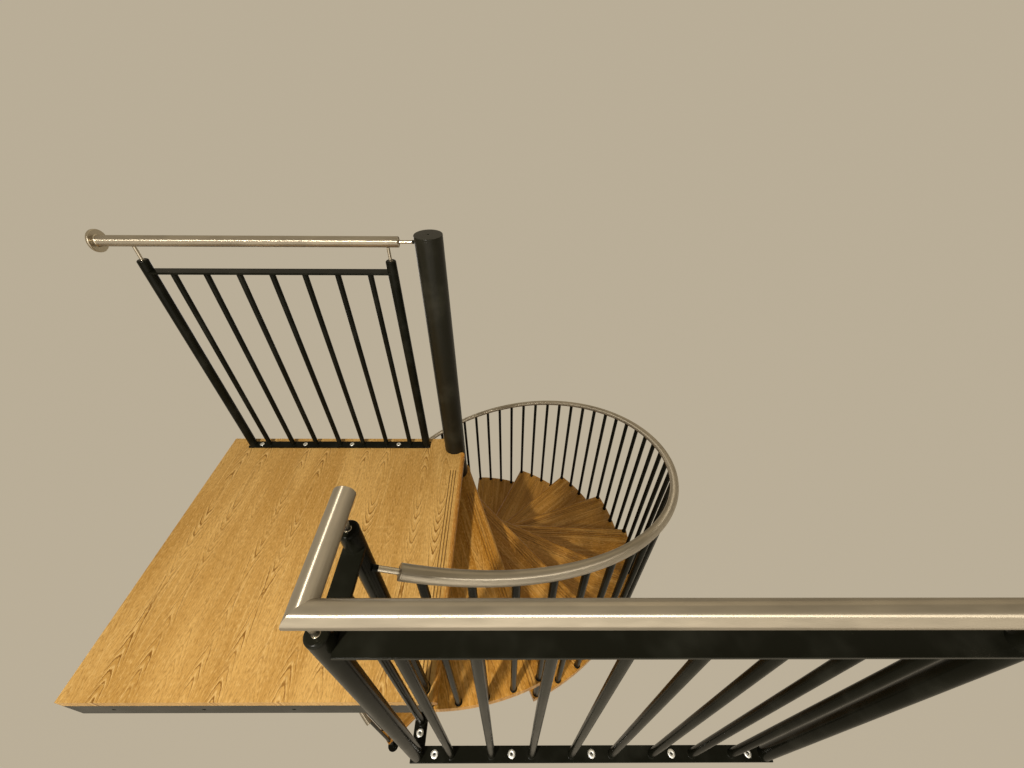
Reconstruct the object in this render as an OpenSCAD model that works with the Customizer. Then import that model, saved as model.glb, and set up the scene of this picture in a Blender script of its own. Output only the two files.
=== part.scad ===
// Spiral stair round a steel column, with timber treads, a square timber landing
// and steel guard rails. The origin is the centre of the column's base plate, on
// the lower floor. +X is right and +Y is away from someone on the upper floor.
// Angles run anticlockwise seen from above, from the landing's front edge (-Y).

/* [Stair] */
// Number of risers from the lower floor to the landing
riser_count = 15; // [12:1:16]
// Height of one riser
riser_h = 208; // [170:1:250]
// Angle that one tread turns through
tread_turn = 22.5; // [19:0.5:27]
// Drop from the top of the landing to the upper floor beside it
floor_drop = 40; // [40:1:90]

/* [Column] */
// Outside diameter of the column and of the spacer sleeves
column_d = 101.6; // [80:0.1:127]
// Wall of the column and of the spacer sleeves
sleeve_wall = 6; // [3:0.1:8]
// Wall of the core tube
core_wall = 4; // [2.9:0.1:6.3]
// Height of the column above the landing
column_above = 1109; // [900:1:1300]
// Thickness of the column's cap
cap_t = 6; // [3:1:12]
// Diameter of the base plate
base_d = 280; // [220:5:340]
// Thickness of the base plate
base_t = 12; // [8:1:20]
// Pitch circle of the base plate's bolt holes
base_pcd = 220; // [160:5:300]
// Radius of the base plate's bolt holes
base_hole_r = 7; // [5:0.5:10]
// Number of bolt holes in the base plate
base_hole_count = 4; // [3:1:8]
// Running gap between the core tube and what slides on it
core_gap = 0.35; // [0.1:0.05:1]

/* [Treads] */
// Thickness of the treads and of the landing board
board_t = 40; // [30:1:50]
// Radius of the treads' outer edge
tread_r = 1052; // [870:1:1270]
// Width of the rim that a tread's round eye shows beyond the sleeves
eye_rim = 16.2; // [8:0.1:30]
// How far a tread reaches past the line of its end balusters
tread_lap = 19; // [12:1:40]
// Number of grooves behind the nosing
groove_count = 3; // [1:1:5]
// Width of a groove
groove_w = 4; // [2:0.5:6]
// Depth of a groove
groove_depth = 2; // [1:0.5:4]
// Distance from one groove to the next
groove_pitch = 12.5; // [8:0.5:20]
// Distance from the nosing's edge to the first groove
groove_inset = 34; // [20:1:60]
// Distance from the column's axis to where the grooves start
groove_start = 150; // [110:5:300]

/* [Landing] */
// Distance from the column's axis to the landing's wall side
landing_left = 1170; // [1120:5:1500]
// How far the landing's front edge stands beyond the treads' outer edge
landing_past = 22; // [5:1:60]
// How far the landing's nosing stands beyond the side of the column
nosing_past = 2.2; // [0:0.1:20]
// How far the landing's back edge stands beyond the back of the column
back_past = 4.2; // [0:0.1:20]
// Angle from the front of the column to where the board stops beside it
notch_wrap = 42; // [30:1:60]
// Rounding of the board's corner beside the column
corner_r = 14; // [5:1:18]
// Gap between the landing board and the column
notch_gap = 0.7; // [0.3:0.1:3]
// Depth of the steel bearers under the landing
bearer_h = 60; // [40:5:100]
// Width of the steel bearers under the landing
bearer_w = 30; // [20:5:50]
// Thickness of the plates that fix the landing to wall and floor
fix_t = 8; // [6:1:12]
// Depth of the plates that fix the landing to wall and floor
fix_h = 100; // [80:5:140]
// Radius of the bolt holes in those plates
fix_hole_r = 6.5; // [4:0.5:8]
// Number of bolt holes in each of those plates
fix_count = 4; // [2:1:4]
// Distance between those bolt holes
fix_pitch = 300; // [200:10:330]

/* [Balusters and posts] */
// Diameter of a baluster
baluster_d = 21.3; // [16:0.1:26.9]
// Distance from the treads' outer edge in to the middle of the balusters
baluster_inset = 16; // [14:0.5:40]
// Balusters on each tread
balusters_per_tread = 4; // [3:1:5]
// Diameter of the foot under each stair baluster
foot_d = 27; // [24:0.5:34]
// Height of that foot
foot_h = 6; // [3:1:12]
// Diameter of the strut that ties a tread's corner to the next tread
strut_d = 26.9; // [20:0.1:33.7]
// Diameter of a guard post
post_d = 38; // [33.7:0.1:42.4]
// Height of the plug on top of a guard post
post_cap_h = 7; // [5:0.5:15]
// Rounding of that plug's edge
post_cap_round = 5; // [1:0.5:5]
// Diameter of the thin pins between posts, column and rails
pin_d = 12; // [8:0.5:16]

/* [Handrails] */
// Diameter of the guard rails round the landing
guard_rail_d = 38; // [33.7:0.1:42.4]
// Wall of the guard rails
rail_wall = 2; // [1.5:0.1:3]
// Thickness of the plugs in the guard rails' open ends
plug_t = 4; // [2:0.5:10]
// How deep those plugs sit in the rails
plug_depth = 1.5; // [0:0.5:4]
// Diameter of the spiral handrail
stair_rail_d = 33.7; // [30:0.1:42.4]
// Height of the spiral handrail's axis above the line of the nosings
stair_rail_h = 862; // [715:1:1050]
// How far the spiral handrail's axis lies outside the balusters' circle
rail_out = 6; // [0:0.5:6]
// Gap between a baluster or pin and the rail that it carries
rail_gap = 0.2; // [0.1:0.05:0.6]
// Angle at which the spiral handrail starts, below the landing's edge
rail_start = 3.8; // [3:0.1:5]
// Angle that the spiral handrail runs on past the last baluster
rail_over = 2.4; // [1.5:0.1:4]
// Height of the guard rails' axis above the guards' base bars
guard_rail_h = 1079; // [1000:1:1200]
// Diameter of the round wall flanges
wall_flange_d = 78; // [60:1:100]
// Thickness of the round wall flanges
wall_flange_t = 8; // [5:1:12]

/* [Guards] */
// Width of a guard's flat bars
bar_w = 40; // [36:1:50]
// Thickness of a guard's flat bars
bar_t = 8; // [6:1:12]
// Height of the flat top bar's top above the base bar's underside
top_bar_h = 969; // [880:1:1040]
// Height of the posts above the base bar's underside
post_h = 1010; // [920:1:1060]
// Distance between a guard's balusters
guard_pitch = 121.6; // [100:0.1:125]
// Radius of the screw holes in the base bars
screw_r = 3.5; // [2.5:0.5:5]
// Number of balusters in the back guard
back_count = 7; // [5:1:7]
// Distance from the column's axis to the back guard's right post
back_inset = 150; // [120:1:240]
// Distance from a back guard post to its nearest baluster
back_end_gap = 85.2; // [70:0.1:120]
// How far the back guard stands behind the column's axis
back_y = 9; // [0:1:20]
// Number of balusters in the front guard
front_count = 8; // [5:1:8]
// Distance from the landing's front edge out to the front guard
front_past = 121; // [80:1:200]
// Distance from the column's axis to the guard's return
return_x = 6; // [0:1:20]
// Distance from the corner post to the front guard's first baluster
front_end_gap = 104; // [90:1:125]
// Distance from the front guard's last baluster to its right post
front_last_gap = 101; // [90:1:125]
// Distance from the landing's front edge in to the return's end post
end_post_inset = 37; // [20:1:60]
// Distance from the landing's front edge out to the end of the return's base bar
floor_edge_gap = 18; // [5:1:40]
// Distance from the front guard's line to the screw in the return's base bar
return_screw = 50; // [30:1:60]
// How far the return's rail runs past its end post
return_past = 33; // [24:1:60]
// How far the end post stands above the guard's other posts
return_post_rise = 11; // [0:1:30]
// How far the back rail runs past its right post
back_rail_past = 41; // [25:1:60]
// Distance from the column's axis to the wall that the front rail meets
right_wall = 1171; // [1120:1:1400]

/* [Hidden] */
tread_count = riser_count - 1;
landing_top = riser_count * riser_h;
landing_under = landing_top - board_t;
floor_top = landing_top - floor_drop;
column_top = landing_top + column_above;
column_r = column_d / 2;
sleeve_bore = column_d - 2 * sleeve_wall;
core_d = sleeve_bore - 2 * core_gap;
eye_r = column_r + eye_rim;
landing_front = tread_r + landing_past;
landing_right = column_r + nosing_past;
landing_back = column_r + back_past;
eye_top = landing_top - riser_h;
baluster_r = tread_r - baluster_inset;
rail_r = baluster_r + rail_out;
baluster_step = tread_turn / balusters_per_tread;
rail_end = tread_turn * tread_count + rail_over;
rail_rings = 112;
rail_sides = 16;
bar_bite = 4;
foot_post_t = 8;
foot_post_d = 90;
$fn = 64;

function two(n) = n < 10 ? str("0", n) : str(n);
function tread_name(k) = str("tread_", two(k));
function balusters_name(k) = str("balusters_", two(k));

// Plan position at radius r and angle a, measured from the landing's front edge
function at(a, r) = [r * sin(a), -r * cos(a)];
// Height of the top of tread k, counted down from the landing
function tread_top(k) = landing_top - riser_h * k;
// Height of the spiral handrail's axis at angle a
function rail_z(a) = landing_top + stair_rail_h - riser_h * a / tread_turn;
// Drop of the handrail for each degree, and its slope along its own circle
rail_slope = atan(riser_h / (tread_turn * PI / 180 * rail_r));

// A tread's straight edges touch a circle just inside the rim of its eye. Angle
// that the overlap takes up at the treads' outer edge, and the angle from an
// outer corner back to where its straight edge touches that circle
edge_r = eye_r - 0.1;
lap_angle = asin(tread_lap / tread_r);
tangent_angle = acos(edge_r / tread_r);

// Bolt holes to both sides of the middle of a fixing plate
fix_spots = [for (i = [0:fix_count - 1]) (i - (fix_count - 1) / 2) * fix_pitch];

// Lines of the guards, and the places of their posts and balusters
front_y = landing_front + front_past;
return_end = landing_front - end_post_inset;
floor_edge = landing_front + floor_edge_gap;
back_right = -back_inset;
back_span = 2 * back_end_gap + (back_count - 1) * guard_pitch;
back_left = back_right - back_span;
back_balusters = [for (i = [0:back_count - 1]) back_left + back_end_gap + i * guard_pitch];
front_balusters = [for (i = [0:front_count - 1]) return_x + front_end_gap + i * guard_pitch];
front_right = front_balusters[front_count - 1] + front_last_gap;
return_post_top = floor_top + post_h + return_post_rise;
back_rail_z = landing_top + guard_rail_h;
front_rail_z = floor_top + guard_rail_h;
back_rail_end = [back_right + back_rail_past, back_y, back_rail_z];
return_rail_end = [return_x, -return_end + return_past, front_rail_z];

module tube(d, inner_d, h) {
    difference() {
        cylinder(d = d, h = h);
        translate([0, 0, -1]) cylinder(d = inner_d, h = h + 2);
    }
}

// Rod from one point to another, for pins and straight rails
module rod(from, to, d) {
    v = to - from;
    length = norm(v);
    translate(from) rotate([0, acos(v[2] / length), atan2(v[1], v[0])])
        cylinder(d = d, h = length);
}

// Column

module base_plate() {
    color("#1d1d1a") difference() {
        cylinder(d = base_d, h = base_t, $fn = 96);
        for (i = [0:base_hole_count - 1])
            rotate([0, 0, 360 / base_hole_count * (i + 0.5)])
                translate([base_pcd / 2, 0, -1]) cylinder(r = base_hole_r, h = base_t + 2);
    }
}

module core_tube() {
    color("#1d1d1a") translate([0, 0, base_t])
        tube(core_d, core_d - 2 * core_wall, landing_top - base_t);
}

// One sleeve under the lowest tread, and one between each tread and the next
module spacer_sleeves() {
    color("#1d1d1a") {
        translate([0, 0, base_t])
            tube(column_d, sleeve_bore, tread_top(tread_count) - board_t - base_t);
        for (k = [1:tread_count - 1])
            translate([0, 0, tread_top(k + 1)]) tube(column_d, sleeve_bore, riser_h - board_t);
    }
}

module column() {
    color("#1d1d1a") translate([0, 0, eye_top])
        tube(column_d, sleeve_bore, column_top - cap_t - eye_top);
}

module column_cap() {
    color("#1d1d1a") translate([0, 0, column_top - cap_t]) difference() {
        cylinder(d = column_d, h = cap_t);
        translate([0, 0, cap_t / 2]) cylinder(r = 4, h = cap_t);
    }
}

// Treads and landing

// Grooves along the nosing, cut from the top of a board whose nosing edge is
// the line x = 0 and whose material lies at x < 0
module grooves(from, to) {
    for (i = [0:groove_count - 1])
        translate([-groove_inset - i * groove_pitch - groove_w / 2, -to, -groove_depth])
            cube([groove_w, to - from, groove_depth + 1]);
}

// Half-round nosing under the same line, with its top at z = 0
module nosing(from, to) {
    translate([-board_t / 2, -from, -board_t / 2]) rotate([90, 0, 0])
        cylinder(d = board_t, h = to - from);
}

// Moves a shape onto tread k's nosing line, with the outer end towards -Y
module on_nosing_line(k) {
    rotate([0, 0, tread_turn * k + lap_angle + tangent_angle - 90])
        translate([edge_r, 0, 0]) children();
}

// A tread's plan: a round eye, and two straight edges that leave it as tangents
// and meet the outer arc at the corners. The front edge stops short of the
// nosing's half-round.
module tread_plan(k) {
    front = tread_turn * k + lap_angle;
    back = tread_turn * (k - 1) - lap_angle;
    reach = tread_r / cos(tread_turn / 2 + lap_angle) + 1;
    touch_front = at(front + tangent_angle, edge_r - board_t / 2);
    touch_back = at(back - tangent_angle, edge_r);
    polygon([
        [0, 0], touch_front, touch_front + at(front + tangent_angle - 90, reach),
        touch_back + at(back - tangent_angle + 90, reach), touch_back]);
}

module tread(k) {
    color("#8a5a2b") translate([0, 0, tread_top(k)]) difference() {
        union() {
            translate([0, 0, -board_t]) cylinder(r = eye_r, h = board_t);
            intersection() {
                translate([0, 0, -board_t]) cylinder(r = tread_r, h = board_t, $fn = 192);
                union() {
                    translate([0, 0, -board_t]) linear_extrude(board_t) tread_plan(k);
                    on_nosing_line(k) nosing(0, tread_r);
                }
            }
        }
        translate([0, 0, -board_t - 1]) cylinder(d = sleeve_bore, h = board_t + 2);
        on_nosing_line(k) grooves(groove_start, tread_r);
    }
}

// The board stops beside the column with a rounded corner, and is open behind it
module landing_board() {
    notch_r = column_r + notch_gap;
    corner_y = -notch_r * cos(notch_wrap) - corner_r;
    color("#c99a4e") translate([0, 0, landing_top]) difference() {
        union() {
            translate([-landing_left, -landing_front, -board_t])
                cube([landing_left, landing_front + landing_back, board_t]);
            translate([-1, -landing_front, -board_t])
                cube([1 + landing_right - board_t / 2, landing_front + corner_y, board_t]);
            translate([-1, -landing_front, -board_t])
                cube([1 + landing_right - corner_r, landing_front + corner_y + corner_r, board_t]);
            translate([landing_right - corner_r, corner_y, -board_t]) cylinder(r = corner_r, h = board_t);
            translate([landing_right, 0, 0]) nosing(-corner_y, landing_front);
        }
        translate([0, 0, -board_t - 1]) cylinder(r = notch_r, h = board_t + 2);
        translate([-notch_r, 0, -board_t - 1]) cube([notch_r + 1, landing_back + 1, board_t + 2]);
        translate([landing_right, 0, 0]) grooves(groove_start, landing_front + 1);
    }
}

// Landing frame

// Box-section bearer from the column out to a plate, laid along -Y
module bearer(length) {
    difference() {
        translate([-bearer_w / 2, -length, -bearer_h]) cube([bearer_w, length, bearer_h]);
        translate([0, 0, -bearer_h - 1]) cylinder(d = column_d, h = bearer_h + 2);
    }
}

// One bearer runs to the wall under the back guard, one to the floor's edge
module landing_bearers() {
    color("#1d1d1a") translate([0, 0, landing_under]) {
        rotate([0, 0, -90]) bearer(landing_left - fix_t);
        bearer(landing_front - fix_t);
    }
}

module wall_plate() {
    color("#1d1d1a") difference() {
        translate([-landing_left, -landing_front + fix_t, landing_under - fix_h])
            cube([fix_t, landing_front - fix_t + bearer_w / 2, fix_h]);
        for (spot = fix_spots)
            translate([-landing_left - 1, -landing_front / 2 + spot, landing_under - fix_h / 2])
                rotate([0, 90, 0]) cylinder(r = fix_hole_r, h = fix_t + 2);
    }
}

module floor_plate() {
    color("#1d1d1a") difference() {
        translate([-landing_left, -landing_front, landing_under - fix_h])
            cube([landing_left + bearer_w / 2, fix_t, fix_h]);
        for (spot = fix_spots)
            translate([-landing_left / 2 + spot, -landing_front - 1, landing_under - fix_h / 2])
                rotate([-90, 0, 0]) cylinder(r = fix_hole_r, h = fix_t + 2);
    }
}

// Stair balusters, struts and handrail

// A baluster on a foot, with its top cut to sit under the sloping handrail
module stair_baluster(a, k) {
    spot = at(a, baluster_r);
    length = rail_z(a) - tread_top(k);
    translate([spot[0], spot[1], tread_top(k)]) rotate([0, 0, a]) {
        cylinder(d = foot_d, h = foot_h);
        difference() {
            cylinder(d = baluster_d, h = length);
            translate([0, -rail_out, length]) rotate([0, rail_slope, 0])
                rod([-foot_d, 0, 0], [foot_d, 0, 0], stair_rail_d + 2 * rail_gap);
        }
    }
}

module balusters(k) {
    color("#1d1d1a")
        for (i = [1:balusters_per_tread])
            stair_baluster(tread_turn * (k - 1) + baluster_step * i, k);
}

// A strut stands on the back corner of each tread and carries the nosing corner
// of the one above, and the last reaches down to a foot on the lower floor
module corner_struts() {
    color("#1d1d1a") {
        for (k = [0:tread_count]) {
            spot = at(tread_turn * k, baluster_r);
            top = k == 0 ? landing_under - bearer_h : tread_top(k) - board_t;
            foot = k == tread_count ? 0 : tread_top(k + 1);
            translate([spot[0], spot[1], foot]) cylinder(d = strut_d, h = top - foot);
        }
        last = at(tread_turn * tread_count, baluster_r);
        translate([last[0], last[1], 0]) cylinder(d = foot_post_d, h = foot_post_t);
    }
}

// Round tube swept along the helix: ring after ring of points, square to the path
module spiral_handrail() {
    step = (rail_end - rail_start) / rail_rings;
    rings = [for (i = [0:rail_rings]) let (a = rail_start + i * step) [
        for (j = [0:rail_sides - 1]) let (
            b = 360 * j / rail_sides,
            outward = stair_rail_d / 2 * cos(b),
            up = stair_rail_d / 2 * sin(b),
            spot = at(a, rail_r + outward),
            lean = up * sin(rail_slope))
        [spot[0] + lean * cos(a), spot[1] + lean * sin(a), rail_z(a) + up * cos(rail_slope)]]];
    sides = [for (i = [0:rail_rings - 1]) for (j = [0:rail_sides - 1]) let (
            here = i * rail_sides, next = here + rail_sides, k = (j + 1) % rail_sides)
        [here + j, next + j, next + k, here + k]];
    color("#8d8579") polyhedron(
        points = [for (ring = rings) each ring],
        faces = concat([[for (j = [0:rail_sides - 1]) j]], sides,
            [[for (j = [rail_sides - 1:-1:0]) rail_rings * rail_sides + j]]),
        convexity = 6);
}

// Guards

// Flat bar along X from one place to another, with its underside at z = 0
module flat_bar(from, to) {
    translate([from, -bar_w / 2, 0]) cube([to - from, bar_w, bar_t]);
}

// Flat base bar with screw holes, uprights along it, and a flat top bar
module guard(posts, balusters, screws, top_from) {
    difference() {
        flat_bar(posts[0] - bar_w / 2, posts[1] + bar_w / 2);
        for (x = screws) translate([x, 0, -1]) cylinder(r = screw_r, h = bar_t + 2);
    }
    for (x = balusters) translate([x, 0, bar_t]) cylinder(d = baluster_d, h = top_bar_h - 2 * bar_t);
    for (x = posts) translate([x, 0, bar_t]) cylinder(d = post_d, h = post_h - post_cap_h - bar_t);
    translate([0, 0, top_bar_h - bar_t]) flat_bar(top_from, posts[1]);
}

// Screws stand midway between every second pair of uprights, from the first
function screw_spots(uprights) = [for (i = [0:2:len(uprights) - 2]) (uprights[i] + uprights[i + 1]) / 2];

module back_guard() {
    uprights = concat([back_left], back_balusters, [back_right]);
    color("#1d1d1a") translate([0, back_y, landing_top])
        guard([back_left, back_right], back_balusters, screw_spots(uprights), back_left);
}

// Guard rail tube from one point to another, with both ends open
module rail_tube(from, to) {
    reach = (to - from) / norm(to - from);
    difference() {
        rod(from, to, guard_rail_d);
        rod(from - reach, to + reach, guard_rail_d - 2 * rail_wall);
    }
}

module back_rail() {
    color("#8d8579") rail_tube([-landing_left + wall_flange_t, back_y, back_rail_z], back_rail_end);
}

module front_guard() {
    uprights = concat([return_x], front_balusters, [front_right]);
    color("#1d1d1a") translate([0, -front_y, floor_top])
        guard([return_x, front_right], front_balusters, screw_spots(uprights),
            return_x + post_d / 2 - bar_bite);
}

// Short side of the guard, from the corner to the end post on the landing. Here
// x = 0 is the front guard's line. The base bar starts beside that guard's own.
// The top bar is coped round both posts and notched round that guard's top bar.
module return_guard() {
    end_post = front_y - return_end;
    reach = post_d / 2 - bar_bite;
    top_bar_z = top_bar_h - bar_t;
    color("#1d1d1a") translate([return_x, -front_y, floor_top]) rotate([0, 0, 90]) {
        difference() {
            flat_bar(bar_w / 2, front_y - floor_edge);
            translate([return_screw, 0, -1]) cylinder(r = screw_r, h = bar_t + 2);
        }
        translate([end_post / 2, 0, bar_t]) cylinder(d = baluster_d, h = top_bar_z - bar_t);
        difference() {
            translate([0, 0, top_bar_z]) flat_bar(reach, end_post);
            for (x = [0, end_post]) translate([x, 0, 0]) cylinder(d = post_d, h = post_h);
            translate([-bar_w, -bar_w, top_bar_z - 1])
                cube([1.5 * bar_w, bar_w - reach, bar_t + 2]);
        }
    }
}

module return_end_post() {
    color("#1d1d1a") translate([return_x, -return_end, landing_top])
        cylinder(d = post_d, h = return_post_top - post_cap_h - landing_top);
}

// Plug with a rounded edge, for the top of a post
module post_cap() {
    core_r = post_d / 2 - post_cap_round;
    rotate_extrude() {
        square([post_d / 2, post_cap_h - post_cap_round]);
        square([core_r, post_cap_h]);
        translate([core_r, post_cap_h - post_cap_round]) intersection() {
            circle(post_cap_round);
            square(post_cap_round);
        }
    }
}

module post_caps() {
    color("#1d1d1a") {
        for (x = [back_left, back_right])
            translate([x, back_y, landing_top + post_h - post_cap_h]) post_cap();
        for (x = [return_x, front_right])
            translate([x, -front_y, floor_top + post_h - post_cap_h]) post_cap();
        translate([return_x, -return_end, return_post_top - post_cap_h]) post_cap();
    }
}

// The front and return rails meet over the corner post in a mitre. This is one
// side of the mitre's plane, seen from the corner.
module mitre_side(left) {
    size = 6 * guard_rail_d;
    translate([return_x, -front_y, front_rail_z]) rotate([0, 0, 45])
        translate([-size / 2, left ? 0 : -size, -size / 2]) cube(size);
}

module front_rail() {
    color("#8d8579") difference() {
        rail_tube([return_x - guard_rail_d, -front_y, front_rail_z],
            [right_wall - wall_flange_t, -front_y, front_rail_z]);
        mitre_side(true);
    }
}

module return_rail() {
    color("#8d8579") difference() {
        rail_tube([return_x, -front_y - guard_rail_d, front_rail_z], return_rail_end);
        mitre_side(false);
    }
}

module wall_flanges() {
    color("#8d8579") {
        translate([-landing_left, back_y, back_rail_z]) rotate([0, 90, 0])
            cylinder(d = wall_flange_d, h = wall_flange_t);
        translate([right_wall - wall_flange_t, -front_y, front_rail_z]) rotate([0, 90, 0])
            cylinder(d = wall_flange_d, h = wall_flange_t);
    }
}

// Plugs set back in the open ends of the back rail and of the return rail
module rail_plugs() {
    inner_d = guard_rail_d - 2 * rail_wall;
    color("#8d8579") {
        rod(back_rail_end - [plug_depth + plug_t, 0, 0], back_rail_end - [plug_depth, 0, 0], inner_d);
        rod(return_rail_end - [0, plug_depth + plug_t, 0], return_rail_end - [0, plug_depth, 0], inner_d);
    }
}

// A pin on top of a post, cut to fit under level rails that have their axis at
// axis_z and run along each of the directions in ways
module post_pin(post_top, axis_z, ways) {
    difference() {
        rod(post_top, [post_top[0], post_top[1], axis_z], pin_d);
        for (way = ways)
            translate([post_top[0], post_top[1], axis_z])
                rod(-pin_d * way, pin_d * way, guard_rail_d + 2 * rail_gap);
    }
}

// A pin with its far end cut to sit against a round upright of diameter
// upright_d, whose axis passes through the plan position upright
module side_pin(from, to, upright, upright_d) {
    difference() {
        rod(from, to, pin_d);
        translate([upright[0], upright[1], to[2] - 2 * pin_d]) cylinder(d = upright_d, h = 4 * pin_d);
    }
}

// Upright pins carry the rails on the posts. A level one ties the back rail to
// the column, and one in line with the start of the spiral handrail ties that to
// the return's end post.
module rail_pins() {
    spot = at(rail_start, rail_r);
    start = [spot[0], spot[1], rail_z(rail_start)];
    run = start[0] - return_x;
    end_post = start + [-run, -run * tan(rail_start), run / cos(rail_start) * tan(rail_slope)];
    color("#a8a49a") {
        for (x = [back_left, back_right])
            post_pin([x, back_y, landing_top + post_h], back_rail_z, [[1, 0, 0]]);
        post_pin([front_right, -front_y, floor_top + post_h], front_rail_z, [[1, 0, 0]]);
        post_pin([return_x, -front_y, floor_top + post_h], front_rail_z, [[1, 0, 0], [0, 1, 0]]);
        post_pin([return_x, -return_end, return_post_top], front_rail_z, [[0, 1, 0]]);
        side_pin(back_rail_end - [plug_depth, 0, 0], [0, back_y, back_rail_z], [0, 0], column_d);
        side_pin(start, end_post, [return_x, -return_end], post_d);
    }
}

base_plate();
core_tube();
spacer_sleeves();
column();
column_cap();
for (k = [1:tread_count]) {
    tread(k);
    balusters(k);
}
corner_struts();
spiral_handrail();
landing_board();
landing_bearers();
wall_plate();
floor_plate();
back_guard();
back_rail();
front_guard();
return_guard();
return_end_post();
front_rail();
return_rail();
wall_flanges();
rail_plugs();
rail_pins();
post_caps();
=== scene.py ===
"""Looks of a spiral stair with oak treads, an oak landing and steel guards.

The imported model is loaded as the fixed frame. Its nodes get procedural
finishes, and smooth tubes, rounded bars, caps, pins, screws and bolts are
worked out with numpy. Lengths are in metres, the origin is the middle of the
base plate on the lower floor, and +Z is up.
"""

import math

import bmesh
import bpy
import numpy as np
from mathutils import Matrix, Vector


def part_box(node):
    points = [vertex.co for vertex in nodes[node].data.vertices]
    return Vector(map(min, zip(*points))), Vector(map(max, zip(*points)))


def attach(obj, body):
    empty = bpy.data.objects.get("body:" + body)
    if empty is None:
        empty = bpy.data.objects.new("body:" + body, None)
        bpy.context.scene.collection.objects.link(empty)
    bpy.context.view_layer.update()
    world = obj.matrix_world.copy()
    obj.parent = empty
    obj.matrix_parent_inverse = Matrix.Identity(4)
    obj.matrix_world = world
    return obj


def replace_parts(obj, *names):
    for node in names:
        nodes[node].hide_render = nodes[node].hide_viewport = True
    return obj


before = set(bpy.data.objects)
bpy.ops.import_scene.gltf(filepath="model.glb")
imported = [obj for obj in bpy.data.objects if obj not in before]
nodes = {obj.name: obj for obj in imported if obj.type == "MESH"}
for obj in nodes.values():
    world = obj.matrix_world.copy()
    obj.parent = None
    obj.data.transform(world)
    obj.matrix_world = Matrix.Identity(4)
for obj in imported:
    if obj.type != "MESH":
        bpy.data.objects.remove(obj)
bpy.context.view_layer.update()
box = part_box
scene = bpy.context.scene


def middle(name, axis):
    """Middle of a node's box along an axis: 0 for X, 1 for Y, 2 for Z."""
    return (box(name)[0][axis] + box(name)[1][axis]) / 2


def half(name, axis):
    """Half the size of a node's box along an axis."""
    return (box(name)[1][axis] - box(name)[0][axis]) / 2


# Sizes that the frame gives

LANDING_TOP = box("landing_board")[1].z
LANDING_NOSE = box("landing_board")[1].x
FLOOR_TOP = box("front_guard")[0].z
COLUMN_TOP = box("column_cap")[1].z
CAP_T = COLUMN_TOP - box("column_cap")[0].z
COLUMN_R = box("column_cap")[1].x
COLUMN_FOOT = box("column")[0].z
BASE_TOP = box("base_plate")[1].z
EYE_R = -box("tread_01")[0].x
TREAD_R = box("tread_05")[1].x
TREAD_COUNT = sum(name.startswith("tread_") for name in nodes)
BOARD_T = box("tread_01")[1].z - box("tread_01")[0].z
RISER = LANDING_TOP - box("tread_01")[1].z
POST_R = half("return_end_post", 0)
CORNER_X = middle("return_end_post", 0)
END_POST_Y = middle("return_end_post", 1)
FRONT_Y = middle("front_rail", 1)
BACK_Y = middle("back_rail", 1)
FRONT_RAIL_Z = middle("front_rail", 2)
BACK_RAIL_Z = middle("back_rail", 2)
GUARD_RAIL_R = half("back_rail", 2)
BACK_RAIL_END = box("back_rail")[1].x
RETURN_RAIL_END = box("return_rail")[1].y
LEFT_WALL = box("wall_flanges")[0].x
RIGHT_WALL = box("wall_flanges")[1].x

# Sizes that the model's source sets

TREAD_TURN = math.radians(22.5)
TREAD_LAP = 0.019
TREAD_BALUSTERS = 4
BALUSTER_R = 0.02130 / 2
BALUSTER_CIRCLE = TREAD_R - 0.016
BALUSTER_STEP = TREAD_TURN / TREAD_BALUSTERS
FOOT_R = 0.027 / 2
FOOT_H = 0.006
STRUT_R = 0.0269 / 2
FOOT_DISC_R = 0.045
FOOT_DISC_H = 0.008
RAIL_R = BALUSTER_CIRCLE + 0.006
RAIL_D = 0.0337
RAIL_ABOVE = 0.862
RAIL_START = math.radians(3.8)
RAIL_END = TREAD_TURN * TREAD_COUNT + math.radians(2.4)
RAIL_SLOPE = math.atan(RISER / (TREAD_TURN * RAIL_R))
RAIL_WALL = 0.002
PLUG_T = 0.004
PLUG_DEPTH = 0.0015
BAR_W = 0.040
BAR_T = 0.008
BAR_BITE = 0.004
TOP_BAR_H = 0.969
POST_H = 1.010
POST_CAP_H = 0.007
POST_CAP_ROUND = 0.005
PIN_R = 0.006
FLANGE_R = 0.039
FLANGE_T = 0.008
GUARD_PITCH = 0.1216
BACK_END_GAP = 0.0852
FRONT_END_GAP = 0.104
BACK_COUNT = 7
FRONT_COUNT = 8
RETURN_SCREW = 0.050
FLOOR_EDGE_GAP = 0.018
GROOVE_FIRST = 0.034
GROOVE_PITCH = 0.0125
GROOVE_W = 0.004
GROOVE_START = 0.150
BASE_BOLT_CIRCLE = 0.110
FIX_PITCH = 0.300
FIX_H = 0.100
FIX_T = 0.008

# Small details that only the looks have

LOW_WELD = 0.0030
HIGH_WELD = 0.0022
BAR_EDGE = 0.0011
TUBE_EDGE = 0.0007
BOARD_EDGE = 0.0009
HAIR = 0.0001
COLLAR_L = 0.011
PIN_SUNK = 0.0185
TURNED_SHARP = 38.0
BOARD_SHARP = 30.0

# The oak's figure: the hearts' spacing across the grain, where the landing has
# one beyond the stair's axis, where its ovals close, how often they do, how
# blunt they are, and the hearts' spacing on a tread

HEART_PITCH = 0.1025
HEART_OFFSET = 0.0375
HEART_OVAL = 0.24
HEART_WAVE = 0.98
HEART_TIP = 0.007
TREAD_HEART_PITCH = 0.085

# Places that follow from them

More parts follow.
